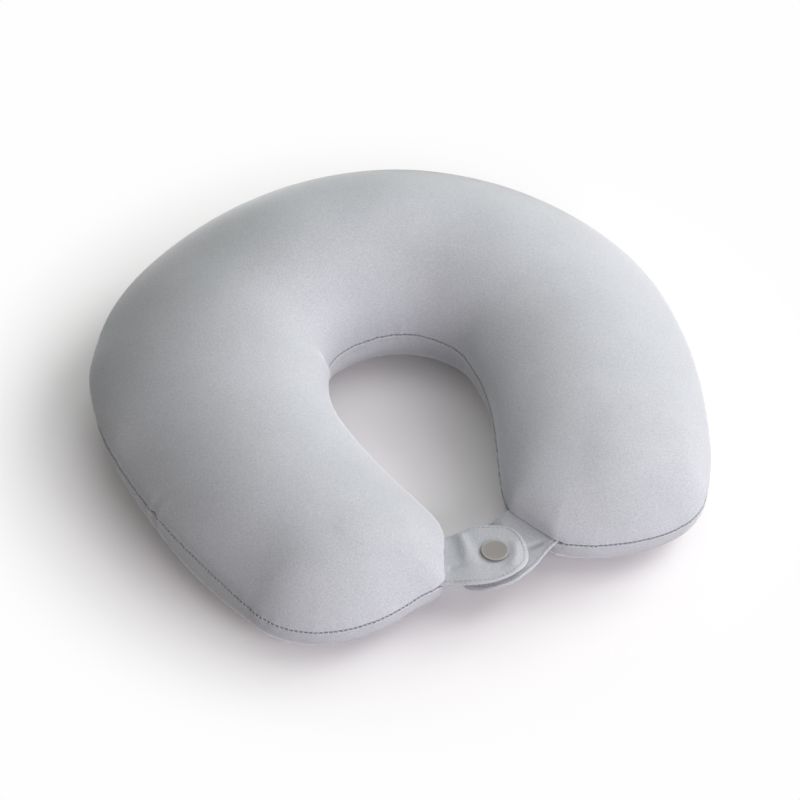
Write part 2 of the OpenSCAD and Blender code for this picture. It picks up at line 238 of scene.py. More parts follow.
def arc_length(points):
    """Way along a line of points, 0 at its start."""
    return np.concatenate([[0], np.cumsum(np.linalg.norm(np.diff(points, axis=0), axis=1))])


def points_at(way, run, points):
    """Places at the given ways along a line of points whose arc length is run."""
    return np.stack([np.interp(way, run, column) for column in points.T], 1)


def crown_line(pillow, s):
    """Place, sideways direction and running direction of the crown line at arc lengths s, 0 at the back.

    Up to a quarter circle the line bends with the crown's radius. Past it, each leg curls in on a circle
    whose radius is its length over its toe-in.
    """
    quarter = pillow.crown_radius * math.pi / 2
    leg_radius = pillow.leg_length / pillow.toe_in
    bend = np.minimum(np.abs(s), quarter) / pillow.crown_radius
    curl = np.maximum(np.abs(s) - quarter, 0) / leg_radius
    heading = np.sign(s) * (bend + curl)
    x = np.sign(s) * (pillow.crown_radius * np.sin(bend) - leg_radius * (1 - np.cos(curl)))
    y = pillow.crown_radius * np.cos(bend) - leg_radius * np.sin(curl)
    sideways = np.stack([np.sin(heading), np.cos(heading)], 1)
    running = np.stack([np.cos(heading), -np.sin(heading)], 1)
    return np.stack([x, y], 1), sideways, running


def through_sections(k, values, end=0.0):
    """Cubic curve through the four sections' values, with k from 0 to 1.

    It is level at the back, and at the tip it has the slope end, over the way from section to section.
    """
    v = np.array(values)
    slope = np.array([0, (v[2] - v[0]) / 2, (v[3] - v[1]) / 2, end])
    i = np.minimum(np.floor(k * 3).astype(int), 2)
    t = k * 3 - i
    near = v[i] * (1 + 2 * t) * (1 - t) ** 2 + slope[i] * t * (1 - t) ** 2
    return near + v[i + 1] * t**2 * (3 - 2 * t) + slope[i + 1] * t**2 * (t - 1)


def half_length(pillow):
    """Arc length of the crown line from the back to a tip."""
    return pillow.crown_radius * math.pi / 2 + pillow.leg_length


def tip_reach(pillow, side, turn):
    """End of the crown line, vectors from it to the rounded tip, and how far inside each lies, from 0 to 1.

    turn goes from 0 outside to pi inside. The tip is half of a superellipse whose roundness goes over from
    the outer corner's to the inner corner's.
    """
    end, sideways, running = crown_line(pillow, np.array([side * half_length(pillow)]))
    inside = (1 - np.cos(turn)) / 2
    power = 2 / (pillow.tip_outer_round + (pillow.tip_inner_round - pillow.tip_outer_round) * inside)
    width = np.where(turn < math.pi / 2, pillow.outer_widths[3], pillow.inner_widths[3])
    across = np.sign(np.cos(turn)) * np.abs(np.cos(turn)) ** power * width
    ahead = np.abs(np.sin(turn)) ** power * pillow.tip_length * side
    reach = sideways * across[:, None] + running * ahead[:, None]
    return np.repeat(end, len(turn), 0), reach, inside


def tab_root(pillow, tabs):
    """Direction of the right tab, its lobe's farthest reach that way, and the middle of the tab's root."""
    direction = np.array([-math.cos(tabs.angle), -math.sin(tabs.angle)])
    end, reach, _ = tip_reach(pillow, 1, np.radians(np.arange(1.0, 180.0)))
    far = (end + reach) @ direction
    corner = (end + reach)[np.argmax(far)]
    return direction, far.max(), corner + direction * (tabs.root_clear - pillow.root_flat)


def drawn_flat(pillow, centre, reach, direction, far):
    """Reach vectors with the corner drawn flat: what passes the flat is pushed back by a softened maximum."""
    over = (centre + reach) @ direction - far + pillow.root_flat
    soft = 0.0008
    back = (over + np.sqrt(over**2 + soft**2)) / 2
    back = np.where(over > -6 * soft, back, 0)
    return reach - direction * back[:, None]


def outer_shares(s, k):
    """How far the outer flanks bulge, as shares of the fullness: little at the back, more along the legs.

    The left flank is fullest at its hip and slackens towards its tip, and the right one fills to its end.
    """
    back, left_leg, right_leg = 0.07, 0.66, 1.21
    hip_gain, tip_loss = 0.74, 0.59
    hip = step(k, 0.36, 0.08) * (1 - step(k, 0.50, 0.12))
    left = (back + left_leg * step(k, 0.14, 0.28)) * (1 + hip_gain * hip)
    left = left * (1 - tip_loss * step(k, 0.80, 0.2))
    right = back + right_leg * step(k, 0.42, 0.44)
    return np.where(s < 0, left, right)


def inner_shares(s, k):
    """How far the flanks towards the neck bulge: the left in a hump halfway, both a little at their ends."""
    waist, left_end, right_end = 0.85, 0.20, 0.13
    left = waist * hump(k - 0.51, 0.075) + left_end * step(k, 0.62, 0.2)
    return np.where(s < 0, left, right_end * step(k, 0.8, 0.2))


def tip_shares(inside_r, inside_l, left_end):
    """How far the right and the left tip bulge: the right most at its outer corner, the left at its front.

    left_end is the share at the end of the left leg's inner side, which the left tip runs into.
    """
    corner, corner_loss, front_loss = 1.28, 0.55, 0.82
    right = (corner - corner_loss * step(inside_r, 0, 0.25)) * (1 - front_loss * step(inside_r, 0, 0.6))
    flank, front_gain, tab_loss = 0.30, 0.25, 0.7
    left = (flank + front_gain * step(inside_l, 0.45, 0.2)) * (1 - tab_loss * step(inside_l, 0.74, 0.16))
    return right, left + (left_end - left) * step(inside_l, 0.82, 0.18)


def joined(outer, right, inner, left):
    """One array round the loop from those of its four stretches, of which the inner side runs backwards."""
    return np.concatenate([outer, right, inner[::-1], left])


# Places on the seam in plan, from the middle of the pillow
LEFT_CORNER = (-0.031, -0.1333)
RIGHT_CORNER = (0.117, -0.125)
LEFT_BELLY = (-0.132, -0.085)
SEAM_PINCH = (-0.1445, -0.043)


class SeamLoop:
    """The closed seam line as arrays: outer side, right tip, inner side backwards and left tip.

    centre and reach give each point in plan, full its reach before the tabs draw the corners flat, crown and
    seam its heights, droop the crown's fall beyond a leg's end, full_share how far the flank bulges, lean how
    it climbs, away its outward direction, line the crown point that it rises to, and run its arc length.
    """

    def __init__(self, pillow, tabs, side_n, tip_n):
        half = half_length(pillow)
        s = np.linspace(-half, half, side_n + 1)
        k = np.abs(s) / half
        crown_xy, sideways, running = crown_line(pillow, s)
        outer = sideways * through_sections(k, pillow.outer_widths)[:, None]
        spread = np.where(s < 0, pillow.spread, 0) * step(k, 0.6, 0.2)
        inner = -sideways * (through_sections(k, pillow.inner_widths) + spread)[:, None]
        crown_h = through_sections(k, pillow.crown_heights, -pillow.fall * half / 3)
        seam_h = through_sections(k, pillow.seam_heights)
        turn = np.linspace(0, math.pi, tip_n + 1)[1:-1]
        direction, far, self.root = tab_root(pillow, tabs)
        centre_r, reach_r, inside_r = tip_reach(pillow, 1, turn)
        centre_l, reach_l, inside_l = tip_reach(pillow, -1, turn[::-1])
        reach_l = reach_l - sideways[0] * (spread[0] * step(inside_l, 0.85, 0.15))[:, None]
        self.full = joined(outer, reach_r, inner, reach_l)
        ahead = np.abs(np.sum(np.stack([reach_r, reach_l]) * running[[-1, 0]][:, None], -1))
        self.droop = pillow.fall * joined(0 * k, ahead[0], 0 * k, ahead[1])
        reach_r = drawn_flat(pillow, centre_r, reach_r, direction, far)
        reach_l = drawn_flat(pillow, centre_l, reach_l, direction * [-1, 1], far)
        tip_crown = np.full(tip_n - 1, crown_h[-1])
        tip_seam = np.full(tip_n - 1, seam_h[-1])
        self.centre = joined(crown_xy, centre_r, crown_xy, centre_l)
        self.reach = joined(outer, reach_r, inner, reach_l)
        self.crown = joined(crown_h, tip_crown, crown_h, tip_crown)
        self.seam = joined(seam_h, tip_seam, seam_h, tip_seam)
        inner_share = inner_shares(s, k)
        share_r, share_l = tip_shares(inside_r, inside_l, inner_share[0])
        self.full_share = joined(outer_shares(s, k), share_r, inner_share, share_l)
        lean_change = np.where(s < 0, 0.50, -0.16)
        inner_lean = pillow.inner_lean + lean_change * step(k, 0.55, 0.25)
        lean_r = pillow.outer_lean + (inner_lean[-1] - pillow.outer_lean) * inside_r
        lean_l = pillow.outer_lean + (inner_lean[0] - pillow.outer_lean) * inside_l
        self.lean = joined(0 * k + pillow.outer_lean, lean_r, inner_lean, lean_l)
        along = np.arange(side_n + 1)
        ends = np.full(tip_n - 1, side_n)
        self.line = joined(along, ends, along, 0 * ends)
        self.line_n = side_n + 1
        self.n = len(self.line)
        outline = self.outline()
        middle = (outline[:, 1].max() + outline[:, 1].min()) / 2
        self.centre = self.centre - [0, middle]
        self.root = self.root - [0, middle]
        self.away = unit(self.reach)
        slump = np.where(s < 0, pillow.slumps[0], -pillow.slumps[1]) * step(k, 0.5, 0.3)
        self.move_crown((sideways * slump[:, None])[self.line])
        corner_reach, drawn_reach = 0.009, 0.014
        corner = pillow.corner * hump(self.distance(LEFT_CORNER), corner_reach)
        drawn = pillow.drawn * hump(self.distance(RIGHT_CORNER), drawn_reach)
        self.move_seam(self.away * (corner - drawn)[:, None])
        outline = self.outline()
        steps = np.linalg.norm(np.roll(outline, -1, 0) - outline, axis=1)
        self.run = np.concatenate([[0], np.cumsum(steps)[:-1]])
        self.length = steps.sum()

    def move_seam(self, shift):
        """Moves the points of the seam in plan."""
        self.reach = self.reach + shift
        self.full = self.full + shift

    def move_crown(self, shift):
        """Moves the crown line in plan and leaves the seam where it is."""
        self.centre = self.centre + shift
        self.move_seam(-shift)

    def outline(self):
        """Points of the seam in plan."""
        return self.centre + self.reach

    def distance(self, place):
        """Distance of each point of the seam from a place in plan."""
        return np.linalg.norm(self.outline() - place, axis=1)

    def tab_window(self, tabs):
        """1 where a tab is caught in the seam, 0 elsewhere, with soft ends."""
        beside, fade = 0.003, 0.004
        near = np.full(self.n, np.inf)
        for side, forward in zip((-1, 1), tabs.forward):
            ahead = forward * np.array([math.sin(tabs.angle), -math.cos(tabs.angle)])
            near = np.minimum(near, self.distance((self.root + ahead) * [side, 1]))
        return smooth((tabs.root_width / 2 + beside - near) / fade)


def waves(run, total, periods, phase):
    """Sum of sines along the seam, of about unit size, each with whole periods so that it closes."""
    turns = np.round(total / np.array(periods))
    shift = phase * np.arange(1, len(periods) + 1) ** 2
    return np.sin(2 * math.pi * run[:, None] / total * turns + shift).sum(1) / math.sqrt(len(periods))


def gathers(loop, seam):
    """Small gathers along the seam: short waves that swell and fade, and one pinch at the left."""
    short = waves(loop.run, loop.length, (0.0052, 0.0071, 0.0104, 0.0163), 1.7)
    swell = 0.6 + 0.4 * waves(loop.run, loop.length, (0.061, 0.097), 0.6)
    pinch_reach, ripple = 0.005, 700
    from_pinch = loop.distance(SEAM_PINCH)
    pinch = hump(from_pinch, pinch_reach) * np.cos(from_pinch * ripple)
    return seam.pucker * short * swell - seam.pinch * pinch


def sewn_height(loop, seam):
    """Height of the sewn line: the seam's, with a slow rise and fall of long waves."""
    return loop.seam + seam.wander * waves(loop.run, loop.length, (0.043, 0.071, 0.118), 2.3)


def unevenness(xy, depth):
    """Soft lumps of the filling: crossed sines, 60 to 140 mm long."""
    x, y = xy[..., 0], xy[..., 1]
    lumps = np.sin(x * 71 + y * 38 + 0.7) + np.sin(x * -44 + y * 83 + 2.1)
    return depth * (lumps + np.sin(x * 96 + 1.3) * np.sin(y * 52 + 0.4)) / 2


def edge_rows(seam, half_gap, rows):
    """Inset and rise of a panel's turned-in edge: along the allowance, then a quarter circle out and up."""
    turn = np.linspace(0, math.pi / 2, rows)
    inset = np.concatenate([[seam.flap, (seam.flap + seam.lip) / 2], seam.lip * (1 - np.sin(turn))])
    rise = np.concatenate([[0, 0], seam.lip * (1 - np.cos(turn))])
    return inset, half_gap + rise[:, None]


def half_gap_of(loop, seam, tabs):
    """Half of the seam's gap, opened to a tab's thickness where a tab is caught."""
    return seam.gap + (tabs.thickness / 2 + tabs.room - seam.gap) * loop.tab_window(tabs)


def edge_points(loop, seam, tabs, sign):
    """Rows of the turned-in edge, above the seam for sign 1 and below it for sign -1."""
    inset, rise = edge_rows(seam, half_gap_of(loop, seam, tabs), rows=7)
    out = gathers(loop, seam) - seam.draw_in + max(-sign, 0) * seam.bead
    xy = loop.outline() + loop.away * out[:, None]
    xy = xy[None] - loop.away[None] * inset[:, None, None]
    z = sewn_height(loop, seam) + sign * rise
    return np.concatenate([xy, np.broadcast_to(z[..., None], xy.shape[:2] + (1,))], -1)


def flank_shift(loop, seam, climb):
    """Outward shift of the flank at the height climb over the seam: valley and gathers, both fading."""
    valley = -seam.draw_in * hump(climb, seam.draw_reach)
    return valley + gathers(loop, seam) * np.exp(-climb / seam.pucker_reach)


def top_rows(loop, pillow, seam, tabs, turns, inset=0.0):
    """Rows of the domed top: out by the cosine and up by the sine to the power of the flank's lean.

    Above the seam the dome fills out again to the corner that the tab draws flat, sooner on the left, and
    the flank is fuller from a little above the seam.
    """
    fill_right, fill_left = 0.9, 0.28
    full_from = 0.006
    out = np.cos(turns)[:, None]
    up = np.sin(turns)[:, None]
    foot = sewn_height(loop, seam) + half_gap_of(loop, seam, tabs) + seam.lip
    climb = (loop.crown - loop.droop * out - inset - foot) * up**loop.lean
    over = smooth(turns[:, None] / np.where(loop.centre[:, 0] > 0, fill_right, fill_left))
    reach = loop.reach + (loop.full - loop.reach) * over[..., None]
    full = pillow.fullness * loop.full_share * np.sqrt(out)
    full = full * (1 - np.exp(-((climb / full_from) ** 1.5)))
    shift = flank_shift(loop, seam, climb) + full - inset * out
    xy = loop.centre + reach * out[..., None] + loop.away * shift[..., None]
    z = foot + climb + unevenness(xy, seam.swell) * up
    return np.concatenate([xy, z[..., None]], -1)


def crown_points(loop, seam, inset=0.0):
    """Points of the crown line itself."""
    xy = loop.centre[: loop.line_n]
    z = loop.crown[: loop.line_n] - inset + unevenness(xy, seam.swell)
    return np.column_stack([xy, z])


def base_rows(loop, pillow, seam, tabs, shares, inset=0.0):
    """Rows of the shallow bottom: a superellipse cut flat where it stands, with a belly at the left leg."""
    power = 2 / pillow.bottom_round
    cut = pillow.base_cut / loop.seam
    turn = np.arcsin((1 / (1 + cut)) ** (1 / power)) * shares[:, None]
    head = sewn_height(loop, seam) - half_gap_of(loop, seam, tabs) - seam.lip
    rise = np.maximum((1 + cut) * (1 - np.sin(turn) ** power) - cut, 0)
    drop = head * (1 - rise)
    across = np.cos(turn) ** power
    bead_reach, belly_reach = 0.0016, 0.042
    shift = flank_shift(loop, seam, drop) + seam.bead * hump(drop, bead_reach)
    shift = shift * np.clip(rise * 3, 0, 1) - inset * across
    belly = pillow.belly * hump(loop.distance(LEFT_BELLY), belly_reach)
    shift = shift + belly * np.sin(math.pi * rise**0.8)
    xy = loop.centre + loop.reach * across[..., None] + loop.away * shift[..., None]
    z = inset + (head - inset) * rise
    return np.concatenate([xy, z[..., None]], -1)


def foot_points(loop, height):
    """The line under the crown on which the flat base closes."""
    return np.column_stack([loop.centre[: loop.line_n], np.full(loop.line_n, height)])


def ring_faces(rings, n, flip=False):
    """Quads between closed rings of n points each."""
    j = np.arange(n)
    first = np.arange(rings - 1)[:, None] * n
    a = first + j
    b = first + (j + 1) % n
    quads = np.stack([a, b, b + n, a + n], -1).reshape(-1, 4)
    return quads[:, ::-1] if flip else quads


def closing_faces(loop, ring, line, flip=False):
    """Faces between the ring that starts at point ring and the line of points that starts at line."""
    j = np.arange(loop.n)
    k = (j + 1) % loop.n
    quads = np.stack([ring + j, ring + k, line + loop.line[k], line + loop.line[j]], 1)
    if flip:
        quads = quads[:, ::-1]
    folded = loop.line[j] == loop.line[k]
    corner = quads[folded]
    threes = corner[:, 1:] if flip else corner[:, :3]
    return quads[~folded], threes


def new_piece(name, points, faces, material, uv=None):
    """A mesh object at the origin from points, lists of faces and, if given, each point's flat place."""
    mesh = bpy.data.meshes.new(name)
    polygons = [face for part in faces for face in np.asarray(part).tolist()]
    mesh.from_pydata(np.asarray(points, float).tolist(), [], polygons)
    mesh.polygons.foreach_set("use_smooth", np.ones(len(mesh.polygons), bool))
    if uv is not None:
        corners = np.zeros(len(mesh.loops), np.int32)
        mesh.loops.foreach_get("vertex_index", corners)
        flat = np.asarray(uv, np.float32)[corners]
        mesh.uv_layers.new(name="UVMap").data.foreach_set("uv", flat.ravel())
    mesh.update()
    mesh.materials.append(material)
    piece = bpy.data.objects.new(name, mesh)
    bpy.context.scene.collection.objects.link(piece)
    return piece


def thicken(piece, thickness, offset=-1):
    """Gives a sheet its thickness, on its inner side for offset -1 and on both sides alike for 0."""
    wall = piece.modifiers.new("Cloth thickness", "SOLIDIFY")
    wall.thickness = thickness
    wall.offset = offset


def cut_flat(rows, line, loop):
    """Place of each point on the cloth before it was sewn: its way from the crown line, laid flat in plan."""
    ends = line[loop.line][None]
    whole = np.concatenate([rows, ends])
    steps = np.linalg.norm(np.diff(whole, axis=0), axis=2)
    way = np.cumsum(steps[::-1], axis=0)[::-1]
    flat = loop.centre[None] + loop.away[None] * way[..., None]
    return np.concatenate([flat.reshape(-1, 2), line[:, :2]])


def new_material(name):
    """A material, its node tree and its shader."""
    material = bpy.data.materials.new(name)
    material.use_nodes = True
    return material, material.node_tree, material.node_tree.nodes["Principled BSDF"]


def set_values(node, values):
    """Sets a node's options and, under the names of its inputs, its values."""
    for key, value in values.items():
        if hasattr(node, key):
            setattr(node, key, value)
        else:
            node.inputs[key.replace("_", " ")].default_value = value


def add_node(tree, kind, **values):
    """A node of a kind with its options and values."""
    node = tree.nodes.new(kind)
    set_values(node, values)
    return node


def join(tree, source, target):
    """Links an output to an input."""
    tree.links.new(source, target)


def calc(tree, operation, first, second=None):
    """A Math node on sockets or numbers; gives its output."""
    node = tree.nodes.new("ShaderNodeMath")
    node.operation = operation
    for place, value in enumerate((first, second)):
        if value is None:
            continue
        if isinstance(value, (int, float)):
            node.inputs[place].default_value = value
        else:
            join(tree, value, node.inputs[place])
    return node.outputs[0]


def coordinates(tree):
    """The tree's texture coordinates, made once."""
    return tree.nodes.get("Texture Coordinate") or add_node(tree, "ShaderNodeTexCoord")


def flat_place(tree):
    """Both parts of a point's flat place on its piece."""
    split = add_node(tree, "ShaderNodeSeparateXYZ")
    join(tree, coordinates(tree).outputs["UV"], split.inputs[0])
    return split.outputs[0], split.outputs[1]


def textured(tree, kind, **values):
    """A texture node on the object's own coordinates."""
    node = add_node(tree, kind, **values)
    join(tree, coordinates(tree).outputs["Object"], node.inputs["Vector"])
    return node


def bumped(tree, shader, height, strength, distance):
    """Gives the shader relief from a height, through a Bump node, which it hands back."""
    bump = add_node(tree, "ShaderNodeBump", Strength=strength, Distance=distance)
    join(tree, height, bump.inputs["Height"])
    join(tree, bump.outputs[0], shader.inputs["Normal"])
    return bump


def tinted(tree, shader, value, tint, low, high):
    """Colours the shader by a ramp over value, from tint times low to tint times high; gives its two ends."""
    ramp = add_node(tree, "ShaderNodeValToRGB")
    for end, share in zip(ramp.color_ramp.elements, (low, high)):
        end.color = (*[min(c * share, 1) for c in tint], 1)
    join(tree, value, ramp.inputs[0])
    join(tree, ramp.outputs[0], shader.inputs["Base Color"])
    return ramp.color_ramp.elements


def knit_material(name, tint, pitch):
    """Fine jersey knit: rows of small loops along the cut of the cloth, with a soft mottle and some fuzz."""
    material, tree, shader = new_material(name)
    across, along = flat_place(tree)
    turns = 2 * math.pi / pitch
    across = calc(tree, "MULTIPLY", across, turns)
    along = calc(tree, "MULTIPLY", along, turns * 0.8)
    wale = calc(tree, "ABSOLUTE", calc(tree, "SINE", calc(tree, "MULTIPLY", across, 0.5)))
    slant = calc(tree, "MULTIPLY", calc(tree, "COSINE", across), 1.3)
    course = calc(tree, "SINE", calc(tree, "ADD", along, slant))
    loops = calc(tree, "ADD", wale, calc(tree, "MULTIPLY", course, 0.35))
    grain = textured(tree, "ShaderNodeTexNoise", Scale=1100.0, Detail=2.0, Roughness=0.7)
    mottle = textured(tree, "ShaderNodeTexNoise", Scale=38.0, Detail=4.0, Roughness=0.55)
    speck = textured(tree, "ShaderNodeTexNoise", Scale=1300.0, Detail=1.0, Roughness=0.6)
    height = calc(tree, "ADD", calc(tree, "MULTIPLY", loops, 0.2), grain.outputs["Fac"])
    bumped(tree, shader, height, strength=0.30, distance=0.0004)
    shade = calc(tree, "MULTIPLY", speck.outputs["Fac"], 0.75)
    for part, share in ((loops, 0.04), (mottle.outputs["Fac"], 0.25)):
        shade = calc(tree, "ADD", shade, calc(tree, "MULTIPLY", part, share))
    dark, light = tinted(tree, shader, shade, tint, low=0.80, high=1.17)
    dark.position, light.position = 0.25, 0.85
    set_values(shader, {"Roughness": 0.86, "Specular IOR Level": 0.25, "Sheen Weight": 1.0,
                        "Sheen Roughness": 0.35})
    return material


def thread_material(name, tint):
    """Spun thread: fine slanted twist with a soft change of tone."""
    material, tree, shader = new_material(name)
    twist = textured(tree, "ShaderNodeTexWave", Scale=900.0, Distortion=2.0, Detail=1.0)
    bumped(tree, shader, twist.outputs["Fac"], strength=0.5, distance=0.0001)
    tinted(tree, shader, twist.outputs["Fac"], tint, low=0.8, high=1.12)
    set_values(shader, {"Roughness": 0.7})
    return material


def moulded_material(name, tint):
    """Satin moulded plastic with a faint grain and slight unevenness of gloss."""
    material, tree, shader = new_material(name)
    grain = textured(tree, "ShaderNodeTexNoise", Scale=1400.0, Detail=2.0)
    cloud = textured(tree, "ShaderNodeTexNoise", Scale=160.0, Detail=3.0)
    bumped(tree, shader, grain.outputs["Fac"], strength=0.08, distance=0.0001)
    tinted(tree, shader, cloud.outputs["Fac"], tint, low=0.93, high=1.06)
    gloss = add_node(tree, "ShaderNodeMapRange", To_Min=0.38, To_Max=0.52)
    join(tree, cloud.outputs["Fac"], gloss.inputs["Value"])
    join(tree, gloss.outputs["Result"], shader.inputs["Roughness"])
    return material


def rimmed(material):
    """Paints light and shade onto a cap's rim: a painted highlight on the top of the bead, and painted shade
    on the dish and, darkest, on the underside that faces the cloth.
    """
    tree = material.node_tree
    shader = tree.nodes["Principled BSDF"]
    plain = shader.inputs["Base Color"].links[0].from_socket
    _, way = flat_place(tree)
    share = add_node(tree, "ShaderNodeMapRange", From_Min=4.5, From_Max=8.0)
    join(tree, way, share.inputs["Value"])
    ramp = add_node(tree, "ShaderNodeValToRGB")
    join(tree, share.outputs["Result"], ramp.inputs[0])
    edges = ramp.color_ramp.elements
    # Painted shade: the dish keeps 0.72 of the plain colour and the underside under the rim 0.12
    edges[0].position, edges[1].position = 0.30, 0.74
    edges[0].color, edges[1].color = (0.72, 0.72, 0.72, 1), (0.12, 0.115, 0.11, 1)
    # Painted highlight: the top of the bead keeps the full plain colour
    for position in (0.42, 0.58):
        painted_highlight = edges.new(position)
        painted_highlight.color = (1, 1, 1, 1)
    tone = add_node(tree, "ShaderNodeMix", data_type="RGBA", blend_type="MULTIPLY")
    tone.inputs[0].default_value = 1.0
    join(tree, plain, tone.inputs[6])
    join(tree, ramp.outputs[0], tone.inputs[7])
    join(tree, tone.outputs[2], shader.inputs["Base Color"])
    return material


def grain_material(name, tint, scale, depth, rough):
    """Pebbled surface of packed beads or felted fibre: rounded cells, darker towards their edges where the
    relief sinks, a painted shade in the hollows between them.
    """
    material, tree, shader = new_material(name)
    cells = textured(tree, "ShaderNodeTexVoronoi", Scale=scale)
    bump = bumped(tree, shader, cells.outputs["Distance"], strength=0.8, distance=depth)
    bump.invert = True
    # Painted shade: the colour falls to 0.7 towards the cells' edges, in the hollows of the relief
    tinted(tree, shader, cells.outputs["Distance"], tint, low=1.0, high=0.7)
    set_values(shader, {"Roughness": rough})
    return material


def material_of(look, slot):
    """The material of a slot, made once."""
    name = "Pillow " + slot
    if name in bpy.data.materials:
        return bpy.data.materials[name]
    if slot == "knit":
        return knit_material(name, look.knit, pitch=0.0007)
    if slot == "thread":
        return thread_material(name, look.thread)
    if slot == "snap":
        return moulded_material(name, look.snap)
    if slot == "cap":
        return rimmed(moulded_material(name, look.snap))
    if slot == "beads":
        return grain_material(name, look.beads, scale=900.0, depth=0.0008, rough=0.7)
    return grain_material(name, look.felt, scale=2600.0, depth=0.0002, rough=0.95)


def place_piece(piece, body, node):
    """Puts a piece on its body in place of its solid."""
    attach(piece, body)
    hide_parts(node)


# Points along the legs and round a tip, and rows from the seam to the crown
SIDE_N, TIP_N, ROWS = 300, 72, 40
SETTLE_SIDE, SETTLE_TIP, SETTLE_ROWS = 100, 24, 22
FILL_SIDE, FILL_TIP, FILL_ROWS = 120, 32, 18
FILL_BASE_ROWS = 14
THREAD_SIDE, THREAD_TIP = 600, 140
# Power by which the panels' rows crowd towards the seam
CROWDED = 1.25
# Distance of the filling from the panels' outer faces
FILL_INSET = 0.006


def resample(values, places):
    """Values along the first axis at fractional places, by a cubic that runs smoothly through the points."""
    last = len(values) - 1
    i = np.clip(np.floor(places).astype(int), 0, last - 1)
    t = (places - i).reshape((-1,) + (1,) * (values.ndim - 1))
    before, near = values[np.maximum(i - 1, 0)], values[i]
    far, after = values[i + 1], values[np.minimum(i + 2, last)]
    curve = 2 * before - 5 * near + 4 * far - after
    twist = 3 * near - before - 3 * far + after
    return near + ((far - before) * t + curve * t**2 + twist * t**3) / 2


def settle(points, faces, hold, cloth):
    """Moves of the points of a sewn panel that settles under the pressure of its filling, simulated as cloth.

    The cloth is simulated ten times enlarged and without weight until it is at rest. hold gives for each
    point how firmly it is kept, from 1 on the sewn edge to 0 where the cloth is free.
    """
    enlarged = 10.0
    piece = new_piece("Settling cloth", points * enlarged, faces, bpy.data.materials.new("Settling"))
    held = piece.vertex_groups.new(name="Sewn")
    for firmness in np.unique(hold[hold > 0]):
        held.add(np.flatnonzero(hold == firmness).tolist(), float(firmness), "REPLACE")
    modifier = piece.modifiers.new("Settle", "CLOTH")
    settings = modifier.settings
    settings.quality = 6
    settings.mass = 0.3
    settings.tension_stiffness = cloth.tension
    settings.compression_stiffness = cloth.compression
    settings.shear_stiffness = cloth.tension / 2
    settings.bending_stiffness = cloth.bending
    settings.tension_damping = settings.compression_damping = settings.shear_damping = 20
    settings.air_damping = 3
    settings.use_pressure = True
    settings.uniform_pressure_force = cloth.pressure
    settings.shrink_min = settings.shrink_max = cloth.shrink
    settings.vertex_group_mass = "Sewn"
    settings.effector_weights.gravity = 0
    modifier.collision_settings.use_collision = False
    modifier.point_cache.frame_end = cloth.frames
    scene = bpy.context.scene
    for moment in range(1, cloth.frames + 1):
        scene.frame_set(moment)
    settled = piece.evaluated_get(bpy.context.evaluated_depsgraph_get())
    places = np.zeros(len(points) * 3, np.float32)
    settled.data.vertices.foreach_get("co", places)
    scene.frame_set(1)
    bpy.data.objects.remove(piece)
    return places.reshape(-1, 3) / enlarged - points


def settled_shift(context, turns):
    """Moves of the top panel's rows at the given turns, and of its crown line, from a coarser settled panel.

    Past the crown the moves go on as on the opposite flank, so that the cubic runs smoothly over it.
    """
    pillow, seam, tabs, _, _ = sizes_of(context)
    cloth = context.scene.cloth_settings
    loop = SeamLoop(pillow, tabs, SETTLE_SIDE, SETTLE_TIP)
    loop.reach = loop.full
    level = np.arange(SETTLE_ROWS) / SETTLE_ROWS
    rows = top_rows(loop, pillow, seam, tabs, math.pi / 2 * level)
    hold = np.repeat(1 - smooth(level / cloth.firm), loop.n)
    hold = np.concatenate([hold, np.zeros(loop.line_n)])
    points = np.concatenate([rows.reshape(-1, 3), crown_points(loop, seam)])
    line = len(points) - loop.line_n
    faces = [ring_faces(SETTLE_ROWS, loop.n, flip=True)]
    faces += closing_faces(loop, line - loop.n, line, flip=True)
    move = settle(points, faces, hold, cloth)
    size = np.linalg.norm(move, axis=1)[:, None]
    move = move * cloth.most / np.maximum(size, cloth.most)
    crown = move[line:]
    grid = move[:line].reshape(SETTLE_ROWS, loop.n, 3)
    # The opposite flank passes the same crown points in reverse, half a loop on
    half = SETTLE_SIDE + SETTLE_TIP
    opposite = (SETTLE_SIDE - np.arange(loop.n)) % loop.n + half
    beyond = grid[-1][opposite % loop.n]
    at_tip = np.roll(loop.line, 1) == np.roll(loop.line, -1)
    inward = np.where(loop.line == 0, 1, SETTLE_SIDE - 1)
    beyond = np.where(at_tip[:, None], crown[inward], beyond)
    grid = np.concatenate([grid, crown[loop.line][None], beyond[None]])
    grid = resample(grid, turns / (math.pi / 2) * SETTLE_ROWS)
    side = np.arange(SIDE_N + 1) * SETTLE_SIDE / SIDE_N
    tip = SETTLE_SIDE + np.arange(1, TIP_N) * SETTLE_TIP / TIP_N
    places = np.concatenate([side, tip, side + half, tip + half])
    # Points from the other end on both sides let the cubic close round the loop
    around = np.concatenate([grid[:, -2:], grid, grid[:, :3]], 1).transpose(1, 0, 2)
    return resample(around, places + 2).transpose(1, 0, 2), resample(crown, side)


def sew_panel(node, loop, rows, line, seam, look, flip):
    """A panel from its rows, closed on its line: knit of the cloth's thickness on the pillow's body."""
    points = np.concatenate([rows.reshape(-1, 3), line])
    last = (len(rows) - 1) * loop.n
    faces = [ring_faces(len(rows), loop.n, flip=flip)]
    faces += closing_faces(loop, last, len(points) - loop.line_n, flip=flip)
    flat = cut_flat(rows, line, loop)
    piece = new_piece(node.capitalize(), points, faces, material_of(look, "knit"), flat)
    thicken(piece, seam.cloth)
    place_piece(piece, "pillow", node)


